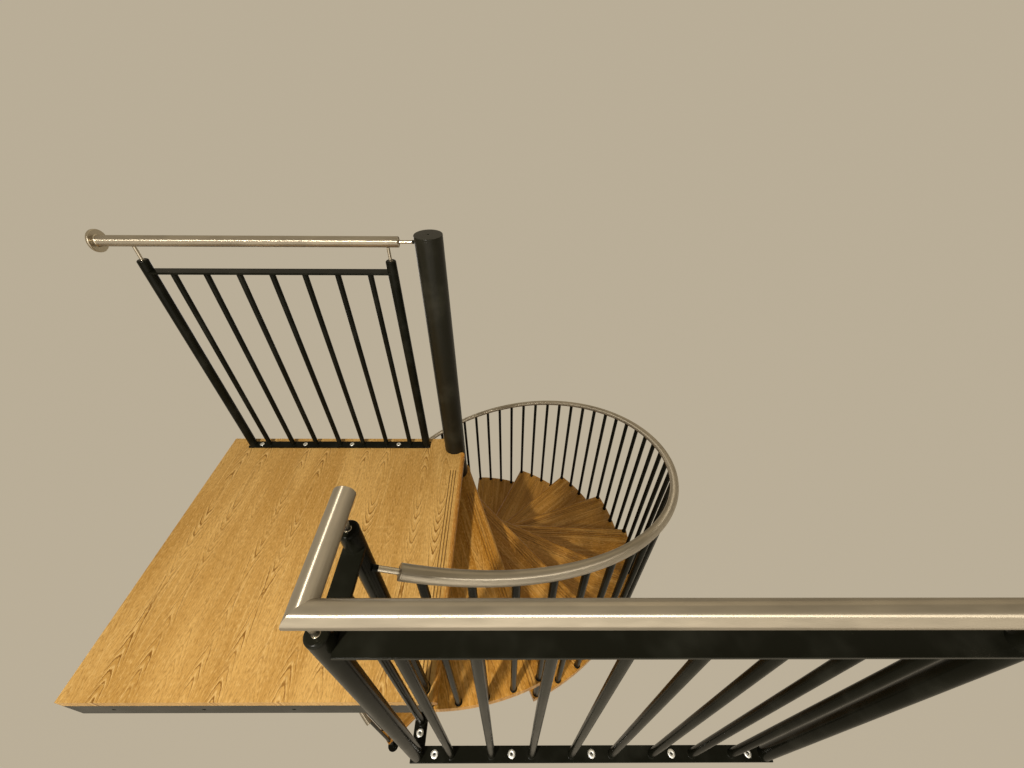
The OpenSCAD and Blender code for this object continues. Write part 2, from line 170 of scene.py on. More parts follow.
BACK_LEFT = box("back_guard")[0].x + BAR_W / 2
BACK_RIGHT = box("back_guard")[1].x - BAR_W / 2
FRONT_RIGHT = box("front_guard")[1].x - BAR_W / 2
BACK_BALUSTERS = [BACK_LEFT + BACK_END_GAP + GUARD_PITCH * i for i in range(BACK_COUNT)]
FRONT_BALUSTERS = [CORNER_X + FRONT_END_GAP + GUARD_PITCH * i for i in range(FRONT_COUNT)]
END_POST_TOP = box("return_end_post")[1].z + POST_CAP_H

X_WAY, Y_WAY, Z_WAY = np.eye(3)


def linked(name, data):
    """An object of some data, linked into the scene."""
    item = bpy.data.objects.new(name, data)
    scene.collection.objects.link(item)
    return item


def stand(name, data, right, up, back, place):
    """An object of some data at a place, its X, Y and Z axes along three ways."""
    item = linked(name, data)
    axes = np.eye(4)
    axes[:3] = np.stack([right, up, back, place], axis=1)
    item.matrix_world = Matrix(axes.tolist())
    return item


# The photograph's view

FOCAL_PIXELS = 405.85
IMAGE_WIDTH = 1024
SENSOR_MM = 36.0
CAMERA_PLACE = (0.28455, -1.41043, 4.74340)
CAMERA_DOWN = math.radians(40.221)
CAMERA_RIGHT = math.radians(0.4217)
CAMERA_ROLL = math.radians(0.3893)


def photo_camera():
    """Camera solved from the photograph's straight edges.

    It looks along (sin right * cos down, cos right * cos down, -sin down), and
    its own right and up axes are turned by the roll about that line.
    """
    ahead = np.array([math.sin(CAMERA_RIGHT), math.cos(CAMERA_RIGHT), 0.0])
    forward = ahead * math.cos(CAMERA_DOWN) - Z_WAY * math.sin(CAMERA_DOWN)
    level = np.array([math.cos(CAMERA_RIGHT), -math.sin(CAMERA_RIGHT), 0.0])
    steep = np.cross(level, forward)
    right = level * math.cos(CAMERA_ROLL) + steep * math.sin(CAMERA_ROLL)
    up = steep * math.cos(CAMERA_ROLL) - level * math.sin(CAMERA_ROLL)
    data = bpy.data.cameras.new("photo_camera")
    data.sensor_fit = "HORIZONTAL"
    data.sensor_width = SENSOR_MM
    data.lens = FOCAL_PIXELS * SENSOR_MM / IMAGE_WIDTH
    data.clip_start = 0.02
    data.clip_end = 200
    scene.camera = stand("photo_camera", data, right, up, -forward, CAMERA_PLACE)


# Shader nodes, placed by short calls

def feed(tree, socket, value):
    """Joins an output to a socket, or sets the socket to a value."""
    if isinstance(value, bpy.types.NodeSocket):
        tree.links.new(value, socket)
    else:
        socket.default_value = value


def feed_all(tree, made, values):
    """Feeds a node's inputs by their names, or by their numbers."""
    for name, value in values.items():
        feed(tree, made.inputs[name], value)


def node(tree, kind, values=None, **settings):
    """A shader node with its settings made and its inputs fed."""
    made = tree.nodes.new("ShaderNode" + kind)
    for name, value in settings.items():
        setattr(made, name, value)
    feed_all(tree, made, values or {})
    return made


def calc(tree, operation, *values):
    """Result of a Math node on numbers or outputs."""
    return node(tree, "Math", dict(enumerate(values)), operation=operation).outputs[0]


def times(tree, first, second):
    """Product of two numbers or outputs."""
    return calc(tree, "MULTIPLY", first, second)


def plus(tree, first, second):
    """Sum of two numbers or outputs."""
    return calc(tree, "ADD", first, second)


def minus(tree, first, second):
    """Difference of two numbers or outputs."""
    return calc(tree, "SUBTRACT", first, second)


def scaled(tree, vector, factors):
    """A vector times factors, one for each axis."""
    return node(tree, "VectorMath", {0: vector, 1: factors}, operation="MULTIPLY").outputs[0]


def joined_vector(tree, x, y, z):
    """A vector from three numbers or outputs."""
    return node(tree, "CombineXYZ", {"X": x, "Y": y, "Z": z}).outputs[0]


def noise(tree, vector, scale, detail, roughness=0.5):
    """Noise from 0 to 1 on a vector."""
    given = {"Vector": vector, "Scale": scale, "Detail": detail, "Roughness": roughness}
    return node(tree, "TexNoise", given).outputs[0]


def span(tree, value, low, high, to_low=0.0, to_high=1.0):
    """A value carried from one range to another in a smooth step, and held at its ends."""
    given = dict(enumerate((value, low, high, to_low, to_high)))
    return node(tree, "MapRange", given, interpolation_type="SMOOTHSTEP").outputs[0]


def tint(tree, factor, first, second):
    """The first colour, with the second mixed in by a factor."""
    return node(tree, "Mix", {0: factor, 6: first, 7: second}, data_type="RGBA").outputs[2]


def group(name, numbers, outputs):
    """A node group with a Vector, named numbers with their values, and named outputs.

    Returns the group, what it is given, and its output node to feed.
    """
    tree = bpy.data.node_groups.new(name, "ShaderNodeTree")
    new_socket = tree.interface.new_socket
    new_socket(name="Vector", in_out="INPUT", socket_type="NodeSocketVector")
    for label, value in numbers.items():
        socket = new_socket(name=label, in_out="INPUT", socket_type="NodeSocketFloat")
        socket.default_value = value
    for label in outputs:
        new_socket(name=label, in_out="OUTPUT", socket_type="NodeSocketFloat")
    given = tree.nodes.new("NodeGroupInput").outputs
    return tree, given, tree.nodes.new("NodeGroupOutput")


def placed(tree, shared, values):
    """A shared group placed in a material, with its inputs fed. Returns its outputs."""
    return node(tree, "Group", values, node_tree=shared).outputs


def oak_figure():
    """Growth rings, pores and tone of flat-sawn oak.

    The board's X runs across the grain, Y along it and Z up. Hearts lie one
    Pitch apart. The ring number is f + g. With side the distance from the
    nearest heart and w the tip, f = (sqrt(side squared + w squared) - w) /
    Spread + side squared / (2 * Spread * Pitch). Along the grain g = -Rings *
    cos(2 pi (y + Shift) / Wave). So nested arches point one way and then the
    other, with ovals and straight lines between them. Two hearts of every
    three are strong. Pores are short dashes, and flecks are small spots.
    """
    tree, given, out = group(
        "oak_figure",
        {"Pitch": HEART_PITCH, "Spread": 0.0140, "Rings": 3.5, "Wave": HEART_WAVE,
         "Shift": HEART_OVAL, "Offset": HEART_OFFSET, "Seed": 0.0},
        ("Rings", "PaleRingSheen", "Pores", "Fibre", "Tone", "Streak", "Thread", "Fleck"))
    x, y, z = node(tree, "SeparateXYZ", {"Vector": given["Vector"]}).outputs
    seed = given["Seed"]

    def marks(across, along, third, detail=1.0, roughness=0.5):
        """Noise whose marks are about 1 / across wide and 1 / along long."""
        place = joined_vector(tree, times(tree, x, across), times(tree, y, along), third)
        return noise(tree, place, 1.0, detail, roughness)

    wander = times(tree, minus(tree, marks(2.2, 1.6, seed), 0.5), 0.06)
    sideways = plus(tree, plus(tree, x, wander), given["Offset"])
    across = calc(tree, "DIVIDE", sideways, given["Pitch"])
    strip = calc(tree, "FLOOR", plus(tree, across, 0.5))
    chance = node(tree, "TexWhiteNoise", {"Vector": joined_vector(tree, strip, seed, 0.5)},
                  noise_dimensions="3D")
    luck = node(tree, "SeparateColor", {"Color": chance.outputs["Color"]}).outputs
    third = calc(tree, "FLOORED_MODULO", strip, 3.0)
    weak = calc(tree, "COMPARE", third, 1.0, 0.1)
    side = times(tree, minus(tree, across, strip), given["Pitch"])
    slow = noise(tree, joined_vector(tree, strip, times(tree, y, 3.0), seed), 1.0, 1.0)
    shifts = plus(tree, times(tree, minus(tree, luck[0], 0.5), 0.07),
                  times(tree, minus(tree, slow, 0.5), 0.12))
    along = plus(tree, plus(tree, y, given["Shift"]), shifts)
    turn = calc(tree, "DIVIDE", times(tree, along, 2 * math.pi), given["Wave"])
    swing = calc(tree, "COSINE", turn)
    squared = times(tree, side, side)
    root = calc(tree, "SQRT", plus(tree, squared, HEART_TIP * HEART_TIP))
    pointed = minus(tree, root, HEART_TIP)
    curved = calc(tree, "DIVIDE", times(tree, squared, 0.5), given["Pitch"])
    spread = calc(tree, "DIVIDE", plus(tree, pointed, curved), given["Spread"])
    number = minus(tree, spread, times(tree, swing, given["Rings"]))
    number = plus(tree, number, times(tree, marks(46.0, 15.0, seed, 3.0, 0.62), 1.1))
    ring = calc(tree, "FRACT", number)
    early = times(tree, span(tree, ring, 0.0, 0.07), span(tree, ring, 0.30, 0.17))
    # a pale band beside each ring's dark line: partly the wood's paler growth, partly painted
    # sheen
    pale_ring_sheen = times(tree, span(tree, ring, 0.26, 0.34), span(tree, ring, 0.62, 0.42))
    near_heart = span(tree, calc(tree, "ABSOLUTE", side), 0.030, 0.009)
    patch = noise(tree, joined_vector(tree, strip, times(tree, y, 6.0), luck[1]), 1.0, 1.0)
    patch = span(tree, patch, 0.36, 0.58, 0.20, 1.0)
    force = times(tree, times(tree, near_heart, patch), minus(tree, 1.0, times(tree, weak, 0.8)))
    force = times(tree, force, span(tree, swing, 0.98, 0.72, 0.15, 1.0))
    strength = plus(tree, times(tree, force, 0.88), 0.12)
    dashes = span(tree, marks(330.0, 48.0, times(tree, z, 300.0)), 0.52, 0.70)
    feed_all(tree, out, {
        "Rings": times(tree, early, strength),
        "PaleRingSheen": times(tree, pale_ring_sheen, strength),
        "Pores": times(tree, dashes, plus(tree, times(tree, early, 0.5), 0.5)),
        "Fibre": marks(210.0, 9.0, times(tree, z, 120.0), 2.0, 0.6),
        "Tone": marks(9.0, 1.4, seed, 2.0),
        # broad streaks and fine threads along the grain, which the material uses partly as
        # painted sheen
        "Streak": marks(46.0, 2.6, seed, 2.0, 0.55),
        "Thread": span(tree, marks(105.0, 2.0, seed), 0.64, 0.72),
        "Fleck": marks(150.0, 62.0, times(tree, z, 150.0), 3.0, 0.65)})
    return tree


def groove_lines():
    """Mask of painted shade in the grooves beside a nosing.

    The nosing's edge is x = 0 and the wood lies at x < 0. Groove i lies at
    x = -(first + pitch * i), from the start outwards along -Y, and only within
    the groove's depth below the top z = 0.
    """
    tree, given, out = group("groove_lines", {}, ("Mask",))
    x, y, z = node(tree, "SeparateXYZ", {"Vector": given["Vector"]}).outputs
    inwards = minus(tree, times(tree, x, -1.0), GROOVE_FIRST)
    count = calc(tree, "DIVIDE", inwards, GROOVE_PITCH)
    nearest = calc(tree, "ROUND", count)
    nearest = calc(tree, "MINIMUM", calc(tree, "MAXIMUM", nearest, 0.0), 2.0)
    distance = times(tree, calc(tree, "ABSOLUTE", minus(tree, count, nearest)), GROOVE_PITCH)
    inside = span(tree, distance, GROOVE_W / 2 + 0.0004, GROOVE_W / 2 - 0.0006)
    outwards = span(tree, y, -GROOVE_START, -GROOVE_START - 0.002)
    near_top = span(tree, z, -0.006, -0.004)
    feed_all(tree, out, {"Mask": times(tree, inside, times(tree, outwards, near_top))})
    return tree


def brush_marks():
    """Fine scratches across the vector's X, with soft smudges along it."""
    tree, given, out = group("brush_marks", {}, ("Marks", "Smudge"))
    fine = scaled(tree, given["Vector"], (2200.0, 14.0, 14.0))
    broad = scaled(tree, given["Vector"], (5.0, 22.0, 22.0))
    feed_all(tree, out, {"Marks": noise(tree, fine, 1.0, 2.0, 0.6),
                         "Smudge": noise(tree, broad, 1.0, 3.0, 0.6)})
    return tree


def paint_skin():
    """Orange peel of sprayed paint, and soft patches where hands and cloths polish it."""
    tree, given, out = group("paint_skin", {}, ("Peel", "Patches"))
    feed_all(tree, out, {"Peel": noise(tree, given["Vector"], 260.0, 2.0, 0.5),
                         "Patches": noise(tree, given["Vector"], 9.0, 3.0, 0.6)})
    return tree


OAK_FIGURE = oak_figure()
GROOVE_LINES = groove_lines()
BRUSH_MARKS = brush_marks()
PAINT_SKIN = paint_skin()


def new_material(name):
    """A material with its Principled shader. Returns it, its tree and the shader."""
    material = bpy.data.materials.new(name)
    material.use_nodes = True
    tree = material.node_tree
    return material, tree, tree.nodes["Principled BSDF"]


def bump(tree, height, strength, distance):
    """Normal of a Bump node."""
    given = {"Height": height, "Strength": strength, "Distance": distance}
    return node(tree, "Bump", given).outputs[0]


def darker(colour, factor):
    """A colour with its red, green and blue times a factor."""
    return tuple(channel * factor for channel in colour[:3]) + (1.0,)


def oak(name, turn, edge, top, wood, pattern):
    """Lacquered oak whose grain runs along a nosing turned by an angle about +Z.

    edge is the nosing's distance from the column's axis, and top the height of
    the board's top. wood holds its colours, each laid over the last by its own
    mask, its gloss, how strong its rings and its broad streaks are, and how
    much painted shade its grooves get. The pale colour also paints sheen on
    streaks, threads and ring bands, and the nosing gets painted shade.
    """
    line, shine, streaky = wood["line"], wood["shine"], wood["streaky"]
    material, tree, shader = new_material(name)
    place = node(tree, "TexCoord").outputs["Object"]
    board = node(tree, "Mapping", {"Vector": place, "Location": (0.0, 0.0, -top),
                                   "Rotation": (0.0, 0.0, -turn)}).outputs[0]
    beside = node(tree, "VectorMath", {0: board, 1: (edge, 0.0, 0.0)},
                  operation="SUBTRACT").outputs[0]
    figure = placed(tree, OAK_FIGURE, {"Vector": board, **pattern})
    grooves = placed(tree, GROOVE_LINES, {"Vector": beside})["Mask"]
    inwards = node(tree, "SeparateXYZ", {"Vector": beside}).outputs[0]
    layers = [
        (span(tree, figure["Tone"], 0.32, 0.68), wood["dark"]),
        # painted shade on the nosing: a darker, redder colour from about 24 mm inside the edge
        # outwards, for the round-over turning away from the light
        (span(tree, inwards, -0.024, -0.010, 0.0, 0.62), wood["shaded_nosing"]),
        # partly painted sheen: broad streaks go dark on one side and pale on the other, and fine
        # pale threads follow the grain, for both the wood's own streaks and light caught along it
        (span(tree, figure["Streak"], 0.50, 0.68, 0.0, streaky), line),
        (span(tree, figure["Streak"], 0.48, 0.34, 0.0, streaky), shine),
        (times(tree, figure["Thread"], 0.45), shine),
        # the pale band beside each ring: partly paler wood, partly painted sheen
        (times(tree, figure["PaleRingSheen"], wood["marked"] * 0.70), shine),
        (times(tree, figure["Rings"], wood["marked"]), line),
        (span(tree, figure["Fleck"], 0.52, 0.66, 0.0, 0.30), line),
        (span(tree, figure["Fleck"], 0.46, 0.34, 0.0, 0.40), shine),
        (span(tree, figure["Fibre"], 0.42, 0.75, 0.0, 0.20), line),
        (times(tree, figure["Pores"], 0.50), line),
        # painted shade in the grooves: their mask darkens the colour to a deep brown
        (times(tree, grooves, wood["groove_shade"]), darker(line, 0.35)),
    ]
    colour = wood["light"]
    for mask, over in layers:
        colour = tint(tree, mask, colour, over)
    relief = plus(tree, times(tree, figure["Pores"], -1.0), times(tree, figure["Rings"], -0.35))
    feed_all(tree, shader, {
        "Base Color": colour,
        "Roughness": span(tree, figure["Pores"], 0.0, 1.0, wood["gloss"], wood["gloss"] + 0.2),
        "Normal": bump(tree, relief, 0.3, 0.0005),
        "Specular IOR Level": wood["specular"]})
    return material


def black_paint(name, colour, roughness, shine):
    """Black paint sprayed on steel, with a fine orange peel and duller patches."""
    material, tree, shader = new_material(name)
    skin = placed(tree, PAINT_SKIN, {"Vector": node(tree, "TexCoord").outputs["Object"]})
    dusty = tuple(min(1.0, channel * 1.7 + 0.003) for channel in colour[:3]) + (1.0,)
    feed_all(tree, shader, {
        "Base Color": tint(tree, span(tree, skin["Patches"], 0.45, 0.75), colour, dusty),
        "Roughness": span(tree, skin["Patches"], 0.3, 0.7, roughness, roughness + 0.08),
        "Normal": bump(tree, skin["Peel"], 0.06, 0.0003),
        "Specular IOR Level": shine})
    return material


def brushed_steel(name, colour, roughness, stretch):
    """Satin stainless steel, brushed round the tube, with scratches by the UV map.

    U runs along the tube, so the shine is stretched along the tube's length.
    The coarse scratches also spread some light evenly, so it isn't all metal.
    """
    material, tree, shader = new_material(name)
    marks = placed(tree, BRUSH_MARKS, {"Vector": node(tree, "TexCoord").outputs["UV"]})
    smudged = span(tree, marks["Smudge"], 0.35, 0.70)
    low, high = roughness - 0.03, roughness + 0.05
    feed_all(tree, shader, {
        "Base Color": tint(tree, smudged, colour, darker(colour, 0.80)),
        "Roughness": span(tree, marks["Smudge"], 0.3, 0.7, low, high),
        "Normal": bump(tree, marks["Marks"], 0.008, 0.00005),
        "Metallic": 0.80,
        "Anisotropic": stretch,
        "Tangent": node(tree, "Tangent", direction_type="UV_MAP").outputs[0]})
    return material


def plain_steel(name, colour, roughness):
    """Small steel parts with a slightly uneven polish."""
    material, tree, shader = new_material(name)
    place = node(tree, "TexCoord").outputs["Object"]
    uneven = noise(tree, place, 160.0, 3.0, 0.6)
    feed_all(tree, shader, {
        "Base Color": tint(tree, uneven, colour, darker(colour, 0.82)),
        "Roughness": span(tree, uneven, 0.3, 0.7, roughness, roughness + 0.10),
        "Metallic": 1.0})
    return material


# Light and dark wood, the rings' lines, a pale colour for flecks and pale rings that also paints
# sheen along the grain, and a darker, redder colour that paints shade on the nosing

GOLDEN_OAK = {
    "light": (0.66, 0.385, 0.112, 1.0), "dark": (0.52, 0.280, 0.066, 1.0),
    "line": (0.215, 0.090, 0.012, 1.0), "shine": (0.80, 0.53, 0.200, 1.0),
    "shaded_nosing": (0.50, 0.165, 0.004, 1.0),
    "gloss": 0.34, "specular": 0.18, "marked": 0.92, "streaky": 0.10, "groove_shade": 0.75}
BROWN_OAK = {
    "light": (0.62, 0.295, 0.050, 1.0), "dark": (0.46, 0.200, 0.022, 1.0),
    "line": (0.165, 0.056, 0.003, 1.0), "shine": (0.86, 0.51, 0.150, 1.0),
    "shaded_nosing": (0.52, 0.205, 0.012, 1.0),
    "gloss": 0.30, "specular": 0.18, "marked": 0.40, "streaky": 0.34, "groove_shade": 0.40}
BLACK = (0.0064, 0.0063, 0.0038, 1.0)
COLUMN_BLACK = (0.0115, 0.0106, 0.0062, 1.0)
STEEL = (0.405, 0.350, 0.262, 1.0)
PIN_STEEL = (0.50, 0.44, 0.34, 1.0)
WASHER_STEEL = (0.88, 0.88, 0.84, 1.0)
SCREW_STEEL = (0.10, 0.10, 0.09, 1.0)
FLOOR_SHADE = (0.13, 0.086, 0.056, 1.0)
FLOOR_GLOW = (0.60, 0.52, 0.385, 1.0)
FLOOR_GLOW_SHARE = 0.80
WORLD_LIGHT = (0.20, 0.191, 0.174, 1.0)
WORLD_SEEN = (0.497, 0.429, 0.314, 1.0)

BLACK_PAINT = black_paint("black_paint", BLACK, 0.20, 0.05)
COLUMN_PAINT = black_paint("column_paint", COLUMN_BLACK, 0.32, 0.16)
STEEL_RAIL = brushed_steel("brushed_steel", STEEL, 0.37, 1.0)
PIN = plain_steel("pin_steel", PIN_STEEL, 0.24)
WASHER = plain_steel("washer_steel", WASHER_STEEL, 0.42)
SCREW = plain_steel("screw_steel", SCREW_STEEL, 0.30)


def nosing_turn():
    """Angle of a nosing against its tread's turn, by the lap and the tangent to the eye."""
    return math.asin(TREAD_LAP / TREAD_R) + math.acos(EYE_R / TREAD_R) - math.pi / 2


def tread_top(k):
    """Height of the top of tread k, counted down from the landing."""
    return LANDING_TOP - RISER * k


# Surfaces on a grid

def grid_mesh(name, grids):
    """Mesh of grids of points, each of shape (rows, columns, 3).

    Faces join each point to the next row and, all the way round, the next column.
    """
    points, faces, start = [], [], 0
    for grid in grids:
        rows, columns = grid.shape[:2]
        first = np.arange(rows - 1)[:, None] * columns
        column = np.arange(columns)[None, :]
        ahead = (column + 1) % columns
        quads = np.stack([first + column, first + ahead,
                          first + columns + ahead, first + columns + column], axis=-1)
        points.append(grid.reshape(-1, 3))
        faces.append(quads.reshape(-1, 4) + start)
        start += rows * columns
    mesh = bpy.data.meshes.new(name)
    mesh.from_pydata(np.concatenate(points).tolist(), [], np.concatenate(faces).tolist())
    return mesh


def make_piece(name, grids, material, uv=None):
    """One mesh from grids of points, each closed round its columns.

    Rows that shrink to one point are merged to a pole.
    """
    mesh = grid_mesh(name, grids)
    if uv is not None:
        layer = mesh.uv_layers.new(name="UVMap")
        layer.data.foreach_set("uv", np.concatenate(uv).astype(np.float32).ravel())
    close_poles(mesh)
    return finish_piece(name, mesh, material, TURNED_SHARP, uv is None)


def finish_piece(name, mesh, material, sharp, flat=True):
    """Object of a mesh, smooth up to an angle in degrees, whose flat faces look flat."""
    mesh.shade_smooth()
    mesh.set_sharp_from_angle(angle=math.radians(sharp))
    mesh.materials.clear()
    mesh.materials.append(material)
    piece = linked(name, mesh)
    if flat:
        piece.modifiers.new("flat_faces", "WEIGHTED_NORMAL").keep_sharp = True
    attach(piece, "root")
    return piece


def close_poles(mesh):
    """Merges doubled points, drops faces without area, and turns all faces outwards."""
    work = bmesh.new()
    work.from_mesh(mesh)
    bmesh.ops.remove_doubles(work, verts=work.verts, dist=1e-6)
    bmesh.ops.dissolve_degenerate(work, edges=work.edges, dist=1e-7)
    bmesh.ops.recalc_face_normals(work, faces=work.faces)
    work.to_mesh(mesh)
    work.free()


def turned(profile, sides):
    """Surface of revolution about +Z: a radius r and height z go to (r cos t, r sin t, z)."""
    r, z = np.array(profile, float).T
    t = np.linspace(0, 2 * np.pi, sides, endpoint=False)
    return np.stack([r[:, None] * np.cos(t), r[:, None] * np.sin(t),
                     np.repeat(z[:, None], sides, axis=1)], axis=-1)


def aimed(grid, place, way=Z_WAY):
    """A grid moved so that its origin is at a place and its Z axis along a way.

    A point goes to place + x * u + y * v + z * way, with u and v square to it.
    """
    way = np.array(way, float) / np.linalg.norm(way)
    help_way = X_WAY if abs(way[0]) < 0.9 else Y_WAY
    u = np.cross(help_way, way)
    u /= np.linalg.norm(u)
    v = np.cross(way, u)
    return np.array(place) + grid[..., :1] * u + grid[..., 1:2] * v + grid[..., 2:] * way


def arc(centre, radius, first, last, steps=4):
    """Points on a profile's round: centre + radius * (cos a, sin a), a in degrees."""
    a = np.radians(np.linspace(first, last, steps))
    return [(centre[0] + radius * math.cos(v), centre[1] + radius * math.sin(v)) for v in a]


def closed_rod(radius, length, edge, sides):
    """Rod along +Z whose two rims are rounded by edge: quarter circles at its ends."""
    inner = radius - edge
    profile = [(0.0, 0.0)] + arc((inner, edge), edge, -90, 0)
    profile += arc((inner, length - edge), edge, 0, 90) + [(0.0, length)]
    return turned(profile, sides)


def welded_rod(radius, length, low_weld, high_weld, sides=32):
    """Rod along +Z with a hollow weld fillet at each end that has a weld size.

    The fillet's radius falls from r + w to r over its height w, along a
    quarter circle about (r + w, w).
    """
    profile = [(0.0, 0.0)]
    if low_weld > 0:
        profile += arc((radius + low_weld, low_weld), low_weld, 270, 180, 5)
    else:
        profile += [(radius, 0.0)]
    if high_weld > 0:
        profile += arc((radius + high_weld, length - high_weld), high_weld, 180, 90, 5)
    else:
        profile += [(radius, length)]
    return turned(profile + [(0.0, length)], sides)


def flat_bar(place, length):
    """Flat bar from a place along +X, width along Y, with eased edges.

    Its section is a rounded rectangle: half sizes less e, plus e (cos t, sin t)
    about each corner. At a run of e (1 - cos s) from an end it is smaller all
    round by e (1 - sin s).
    """
    width, thick, edge = BAR_W, BAR_T, BAR_EDGE
    corner = np.radians(np.linspace(0, 90, 4))
    t = np.concatenate([corner + quarter * np.pi / 2 for quarter in range(4)])
    side = np.repeat([1, -1, -1, 1], 4)
    level = np.repeat([1, 1, -1, -1], 4)
    s = np.radians(np.linspace(0, 90, 4))
    shrink = np.concatenate([edge * (1 - np.sin(s)), (edge * (1 - np.sin(s)))[::-1]])
    run = np.concatenate([edge * (1 - np.cos(s)), (length - edge * (1 - np.cos(s)))[::-1]])
    left = (edge - shrink)[:, None]
    y = (width / 2 - edge) * side + left * np.cos(t)
    z = (thick / 2 - edge) * level + left * np.sin(t)
    grid = np.stack([np.repeat(run[:, None], len(t), axis=1), y, z + thick / 2], axis=-1)
    poles = [np.tile([x, 0.0, thick / 2], (1, len(t), 1)) for x in (run[0], run[-1])]
    return np.concatenate([poles[0], grid, poles[1]]) + np.array(place)


def turned_quarter(grid, centre):
    """A grid turned a quarter anticlockwise about the upright line through a place."""
    x, y = grid[..., 0] - centre[0], grid[..., 1] - centre[1]
    return np.stack([centre[0] - y, centre[1] + x, grid[..., 2]], axis=-1)


# Column and base

def column_pieces():
    """Column, spacer sleeves and cap, with fine rounded rims, and the weld at the base."""
    edge = TUBE_EDGE
    column = closed_rod(COLUMN_R, COLUMN_TOP - CAP_T - COLUMN_FOOT, edge, 96)
    column = aimed(column, (0, 0, COLUMN_FOOT))
    piece = make_piece("column_tube", [column], COLUMN_PAINT)
    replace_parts(piece, "column")
    feet = [BASE_TOP] + [tread_top(k + 1) for k in range(TREAD_COUNT - 1, 0, -1)]
    tops = [tread_top(k) - BOARD_T for k in range(TREAD_COUNT, 0, -1)]
    sleeves = [aimed(closed_rod(COLUMN_R, top - foot, edge, 64), (0, 0, foot))
               for foot, top in zip(feet, tops)]
    piece = make_piece("sleeve_tubes", sleeves, COLUMN_PAINT)
    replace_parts(piece, "spacer_sleeves")
    hole, rim = 0.004, 0.0018
    profile = [(0.0, 0.0)] + arc((COLUMN_R - edge, edge), edge, -90, 0)
    profile += arc((COLUMN_R - rim, CAP_T - rim), rim, 0, 90, 6)
    profile += arc((hole + edge, CAP_T - edge), edge, 90, 180)
    profile += [(hole, CAP_T / 2), (0.0, CAP_T / 2)]
    cap = aimed(turned(profile, 96), (0, 0, COLUMN_TOP - CAP_T))
    piece = make_piece("column_lid", [cap], COLUMN_PAINT)
    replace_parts(piece, "column_cap")
    weld, inside = 0.006, COLUMN_R - 0.001
    bead = [(inside, 0.0)] + arc((COLUMN_R + weld, weld), weld, 270, 180, 6)
    bead += [(inside, weld), (inside, 0.0)]
    bead = aimed(turned(bead, 96), (0, 0, BASE_TOP))
    make_piece("base_weld", [bead], BLACK_PAINT)


def hexagon_bolt(place, way):
    """Washer, and a head of six flats with a chamfered crown."""
    across, low, shoulder, top = 0.019, 0.0025, 0.0075, 0.0084
    washer = turned([(0.0, 0.0), (0.0120, 0.0), (0.0123, 0.0004), (0.0123, 0.0020),
                     (0.0118, low), (0.0, low)], 28)
    point = across / math.sqrt(3)
    head = turned([(0.0, low), (point, low), (point, shoulder), (point - 0.0012, top),
                   (0.0, top)], 6)
    return [aimed(washer, place, way), aimed(head, place, way)]


def anchor_bolts():
    """Bolts through the base plate and through the landing's two fixing plates."""
    grids = []
    for quarter in range(4):
        a = math.pi / 4 + quarter * math.pi / 2
        x, y = BASE_BOLT_CIRCLE * math.cos(a), BASE_BOLT_CIRCLE * math.sin(a)
        grids += hexagon_bolt((x, y, BASE_TOP), Z_WAY)
    height = box("wall_plate")[0].z + FIX_H / 2
    wall, floor = box("wall_plate")[0].x, box("floor_plate")[0].y
    for spot in (-1.5, -0.5, 0.5, 1.5):
        grids += hexagon_bolt((wall + FIX_T, floor / 2 + spot * FIX_PITCH, height), X_WAY)
        grids += hexagon_bolt((wall / 2 + spot * FIX_PITCH, floor + FIX_T, height), Y_WAY)
    make_piece("anchor_bolts", grids, PIN)


# Timber boards

def eased_board(name, material):
    """A board's own mesh with its doubled points merged and its corners rounded off."""
    mesh = nodes[name].data.copy()
    mesh.name = name + "_board"
    work = bmesh.new()
    work.from_mesh(mesh)
    bmesh.ops.remove_doubles(work, verts=work.verts, dist=1e-5)
    bmesh.ops.dissolve_limit(work, angle_limit=math.radians(0.5),
                             verts=work.verts, edges=work.edges)
    work.to_mesh(mesh)
    work.free()
    piece = finish_piece(name + "_board", mesh, material, BOARD_SHARP)
    ease = piece.modifiers.new("eased_edges", "BEVEL")
    ease.width = BOARD_EDGE
    ease.segments = 2
    ease.limit_method = "ANGLE"
    ease.angle_limit = math.radians(35)
    # the edges are eased before the flat faces are shaded
    piece.modifiers.move(1, 0)
    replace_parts(piece, name)


def boards():
    """Landing and treads, each with grain along its own nosing."""
    pattern = {"Pitch": HEART_PITCH, "Shift": HEART_OVAL, "Offset": HEART_OFFSET, "Seed": 1.0}
    golden = oak("oak_landing", 0.0, LANDING_NOSE, LANDING_TOP, GOLDEN_OAK, pattern)
    eased_board("landing_board", golden)
    for k in range(1, TREAD_COUNT + 1):
        name = f"tread_{k:02d}"
        pattern = {"Pitch": TREAD_HEART_PITCH, "Rings": 2.5, "Shift": 0.37 * k % HEART_WAVE,
                   "Offset": 0.031 * k % TREAD_HEART_PITCH, "Seed": 3.0 + 1.7 * k}
        turn = nosing_turn() + TREAD_TURN * k
        brown = oak("oak_" + name, turn, EYE_R - HAIR, tread_top(k), BROWN_OAK, pattern)
        eased_board(name, brown)


# Stair balusters, struts and the spiral handrail

def on_circle(a, radius):
    """Plan position at angle a from the landing's front edge: (r sin a, -r cos a)."""
    return np.array([radius * math.sin(a), -radius * math.cos(a)])


def rail_height(a):
    """Height of the spiral handrail's axis at angle a."""
    return LANDING_TOP + RAIL_ABOVE - RISER * a / TREAD_TURN


